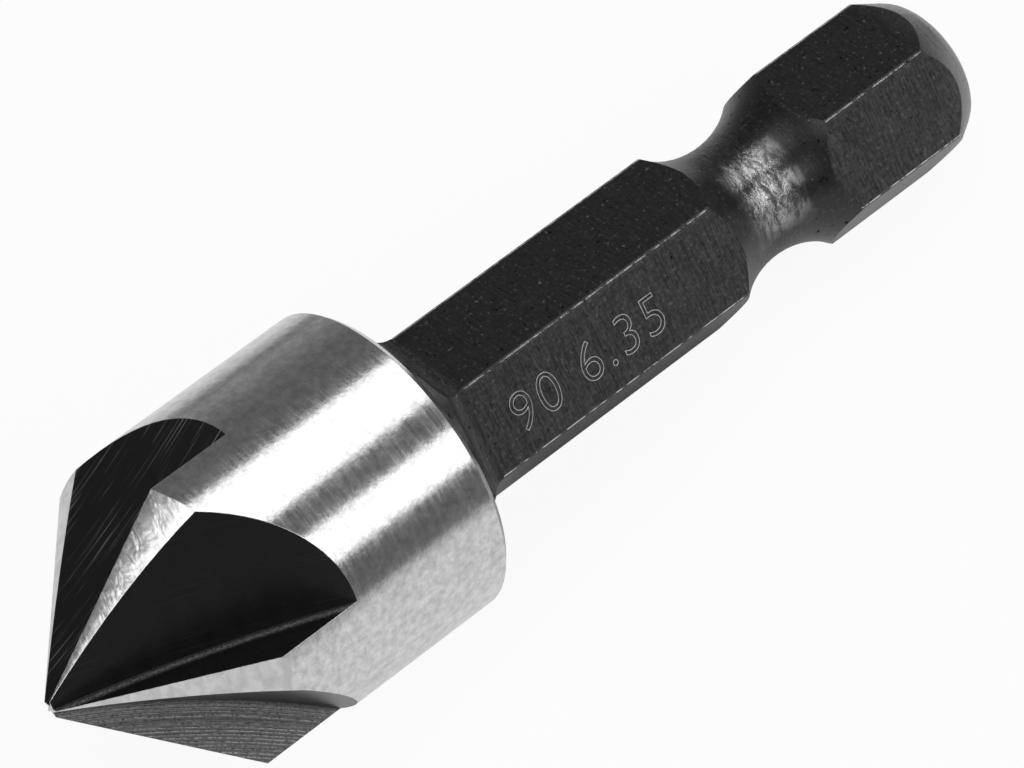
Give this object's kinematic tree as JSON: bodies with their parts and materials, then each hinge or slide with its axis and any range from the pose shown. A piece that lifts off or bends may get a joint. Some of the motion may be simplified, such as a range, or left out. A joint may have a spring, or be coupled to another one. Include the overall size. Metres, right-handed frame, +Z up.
{
  "type": "countersink bit",
  "caption": "Countersink bit with a fluted conical cutting end, a ground cylindrical head, a short turned neck and a hexagonal quick-change shank with a rounded detent groove.",
  "frame": {"origin": "middle of the bounding box in X and Y, on the surface that the bit lies on", "axes": "+X from the point towards the shank end, the tool axis falling 6.6 degrees below it because the bit lies on the head's back rim and a hex flat; +Z up"},
  "size_m": [0.043, 0.0124, 0.0134],
  "materials": {
    "tool_steel": "hardened tool steel, bright ground on the head's side and the cone lands, black oxide in the flutes and on the neck and shank"
  },
  "bodies": {
    "root": {"countersink_bit": "tool_steel"}
  },
  "joints": []
}
